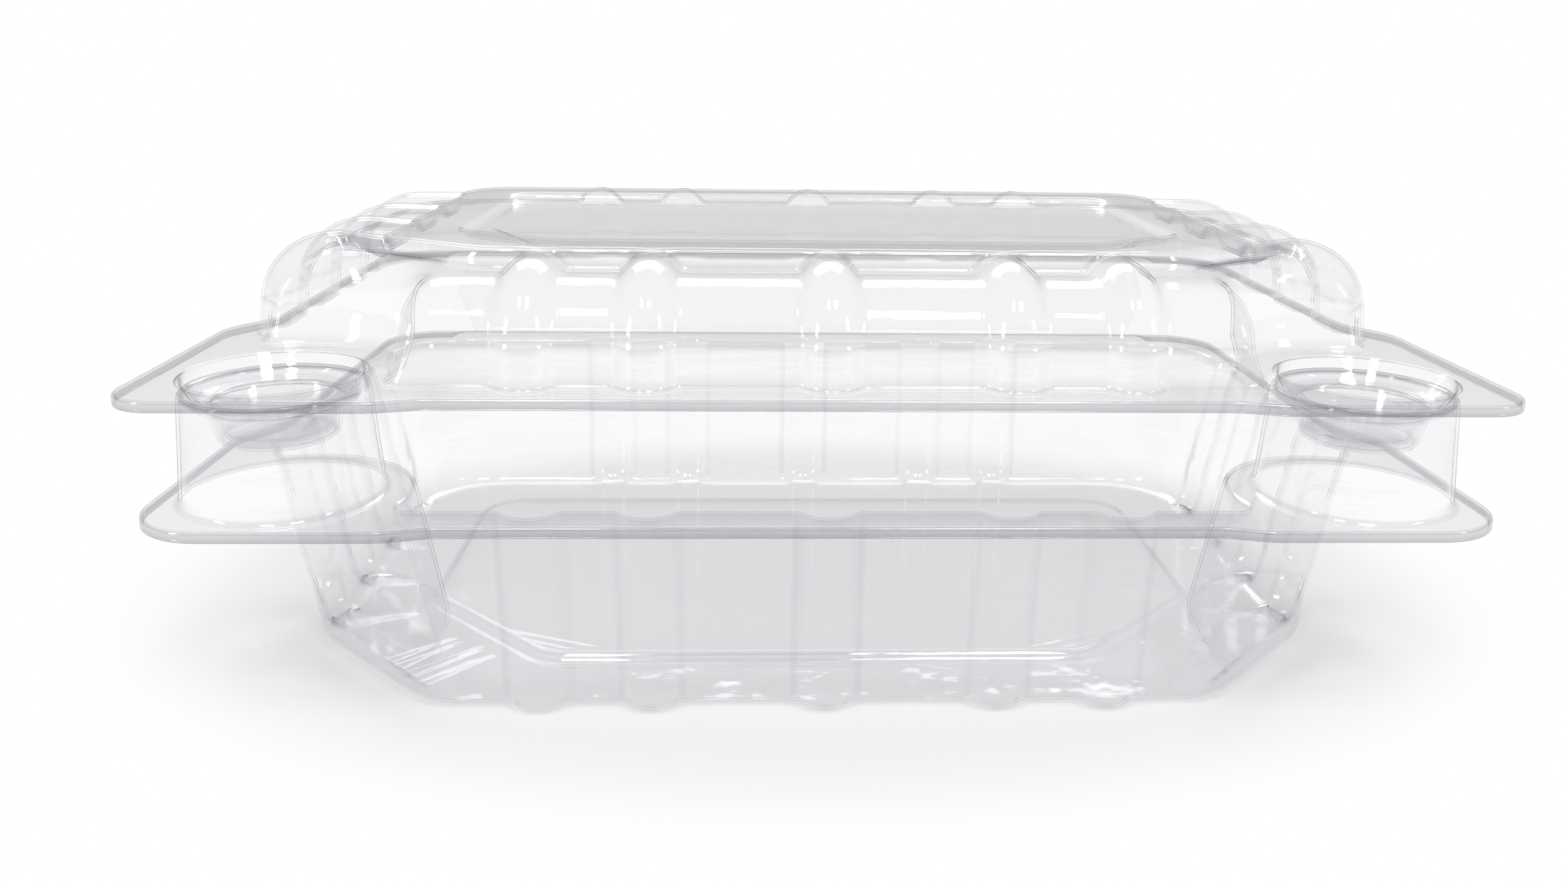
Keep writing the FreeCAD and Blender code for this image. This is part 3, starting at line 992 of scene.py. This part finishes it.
def make_world():
    """Soft even light, and a plain white background."""
    world = bpy.data.worlds.new("studio")
    bpy.context.scene.world = world
    world.use_nodes = True
    nodes, links = world.node_tree.nodes, world.node_tree.links
    nodes.clear()
    out = nodes.new("ShaderNodeOutputWorld")
    soft = coloured(nodes, "ShaderNodeBackground", WHITE, Strength=AMBIENT)
    white = coloured(nodes, "ShaderNodeBackground", WHITE, Strength=1.0)
    path = nodes.new("ShaderNodeLightPath")
    mixed_surface(nodes, links, path.outputs["Is Camera Ray"], soft, white, out)


def softbox(name, place, width, height, power):
    """A rectangle of light that looks at the middle of the pack."""
    light = bpy.data.lights.new(name, "AREA")
    light.shape = "RECTANGLE"
    light.size = width
    light.size_y = height
    light.energy = power
    lamp = bpy.data.objects.new(name, light)
    bpy.context.scene.collection.objects.link(lamp)
    lamp.location = place
    towards = Vector((0.0, 0.0, LIGHTS_AIM_Z)) - Vector(place)
    lamp.rotation_euler = towards.to_track_quat("-Z", "Y").to_euler()


def make_lights():
    """Boxes in front and at the sides for the glints on the bends, and a broad one behind."""
    softbox("softbox_front_right", (0.19, -0.42, 0.92), width=0.19, height=0.2, power=1.8)
    softbox("softbox_front_left", (-0.2, -0.42, 0.92), width=0.135, height=0.2, power=1.3)
    softbox("softbox_left", (-0.85, -0.5, 0.4), width=0.12, height=0.4, power=1.6)
    softbox("softbox_right", (0.85, -0.45, 0.5), width=0.12, height=0.3, power=1.0)
    softbox("softbox_back", (-0.05, 0.95, 0.8), width=1.0, height=0.4, power=5.2)


def make_camera():
    """A near view of the front, from a little above the lid and left of the middle."""
    place = Vector((-0.0099, -0.2154, 0.0932))
    # Turns in radians, and the focal length and the shift in pixels of a picture this wide
    pitch, yaw, roll = 0.265, 0.0421, 0.015
    image_width_px = 2560.0
    focal_px, shift_px_x, shift_px_y = 2102.0, 42.0, -89.3
    sensor_width = 36.0
    nearest = 0.005
    up = Vector((0.0, 0.0, 1.0))
    ahead = Vector((math.sin(yaw), math.cos(yaw), 0.0))
    right = Vector((math.cos(yaw), -math.sin(yaw), 0.0))
    forward = ahead * math.cos(pitch) - up * math.sin(pitch)
    upward = ahead * math.sin(pitch) + up * math.cos(pitch)
    across = right * math.cos(roll) + upward * math.sin(roll)
    upright = upward * math.cos(roll) - right * math.sin(roll)
    data = bpy.data.cameras.new("camera")
    data.sensor_width = sensor_width
    data.lens = sensor_width * focal_px / image_width_px
    data.shift_x = -shift_px_x / image_width_px
    data.shift_y = shift_px_y / image_width_px
    data.clip_start = nearest
    camera = bpy.data.objects.new("camera", data)
    bpy.context.scene.collection.objects.link(camera)
    turn = Matrix((across, upright, -forward)).transposed().to_4x4()
    camera.matrix_world = Matrix.Translation(place) @ turn
    bpy.context.scene.camera = camera


# Putting it together

film = clear_film()
tray = make_tray()
lid = make_lid()
strip = make_strip()
tray_bend = make_crease("tray_crease_film", TRAY_TOP - FILM / 2, TRAY_TOP - FILM / 2 + CREASE_GAP)
lid_bend = make_crease("lid_crease_film", LID_UNDER + FILM / 2, LID_UNDER + FILM / 2 - CREASE_GAP)
for piece in (tray, lid, strip, tray_bend, lid_bend):
    piece.data.materials.clear()
    piece.data.materials.append(film)
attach(tray, "tray")
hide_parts("tray")
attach(lid, "lid")
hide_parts("lid")
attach(strip, "strip")
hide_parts("hinge_strip")
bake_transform(tray_bend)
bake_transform(lid_bend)

make_floor()
make_world()
make_lights()
make_camera()
# Light has to pass many layers of film
scene = bpy.context.scene
scene.view_settings.view_transform = "Standard"
scene.cycles.transparent_max_bounces = 32
scene.cycles.max_bounces = 6
scene.cycles.diffuse_bounces = 2
scene.cycles.glossy_bounces = 3
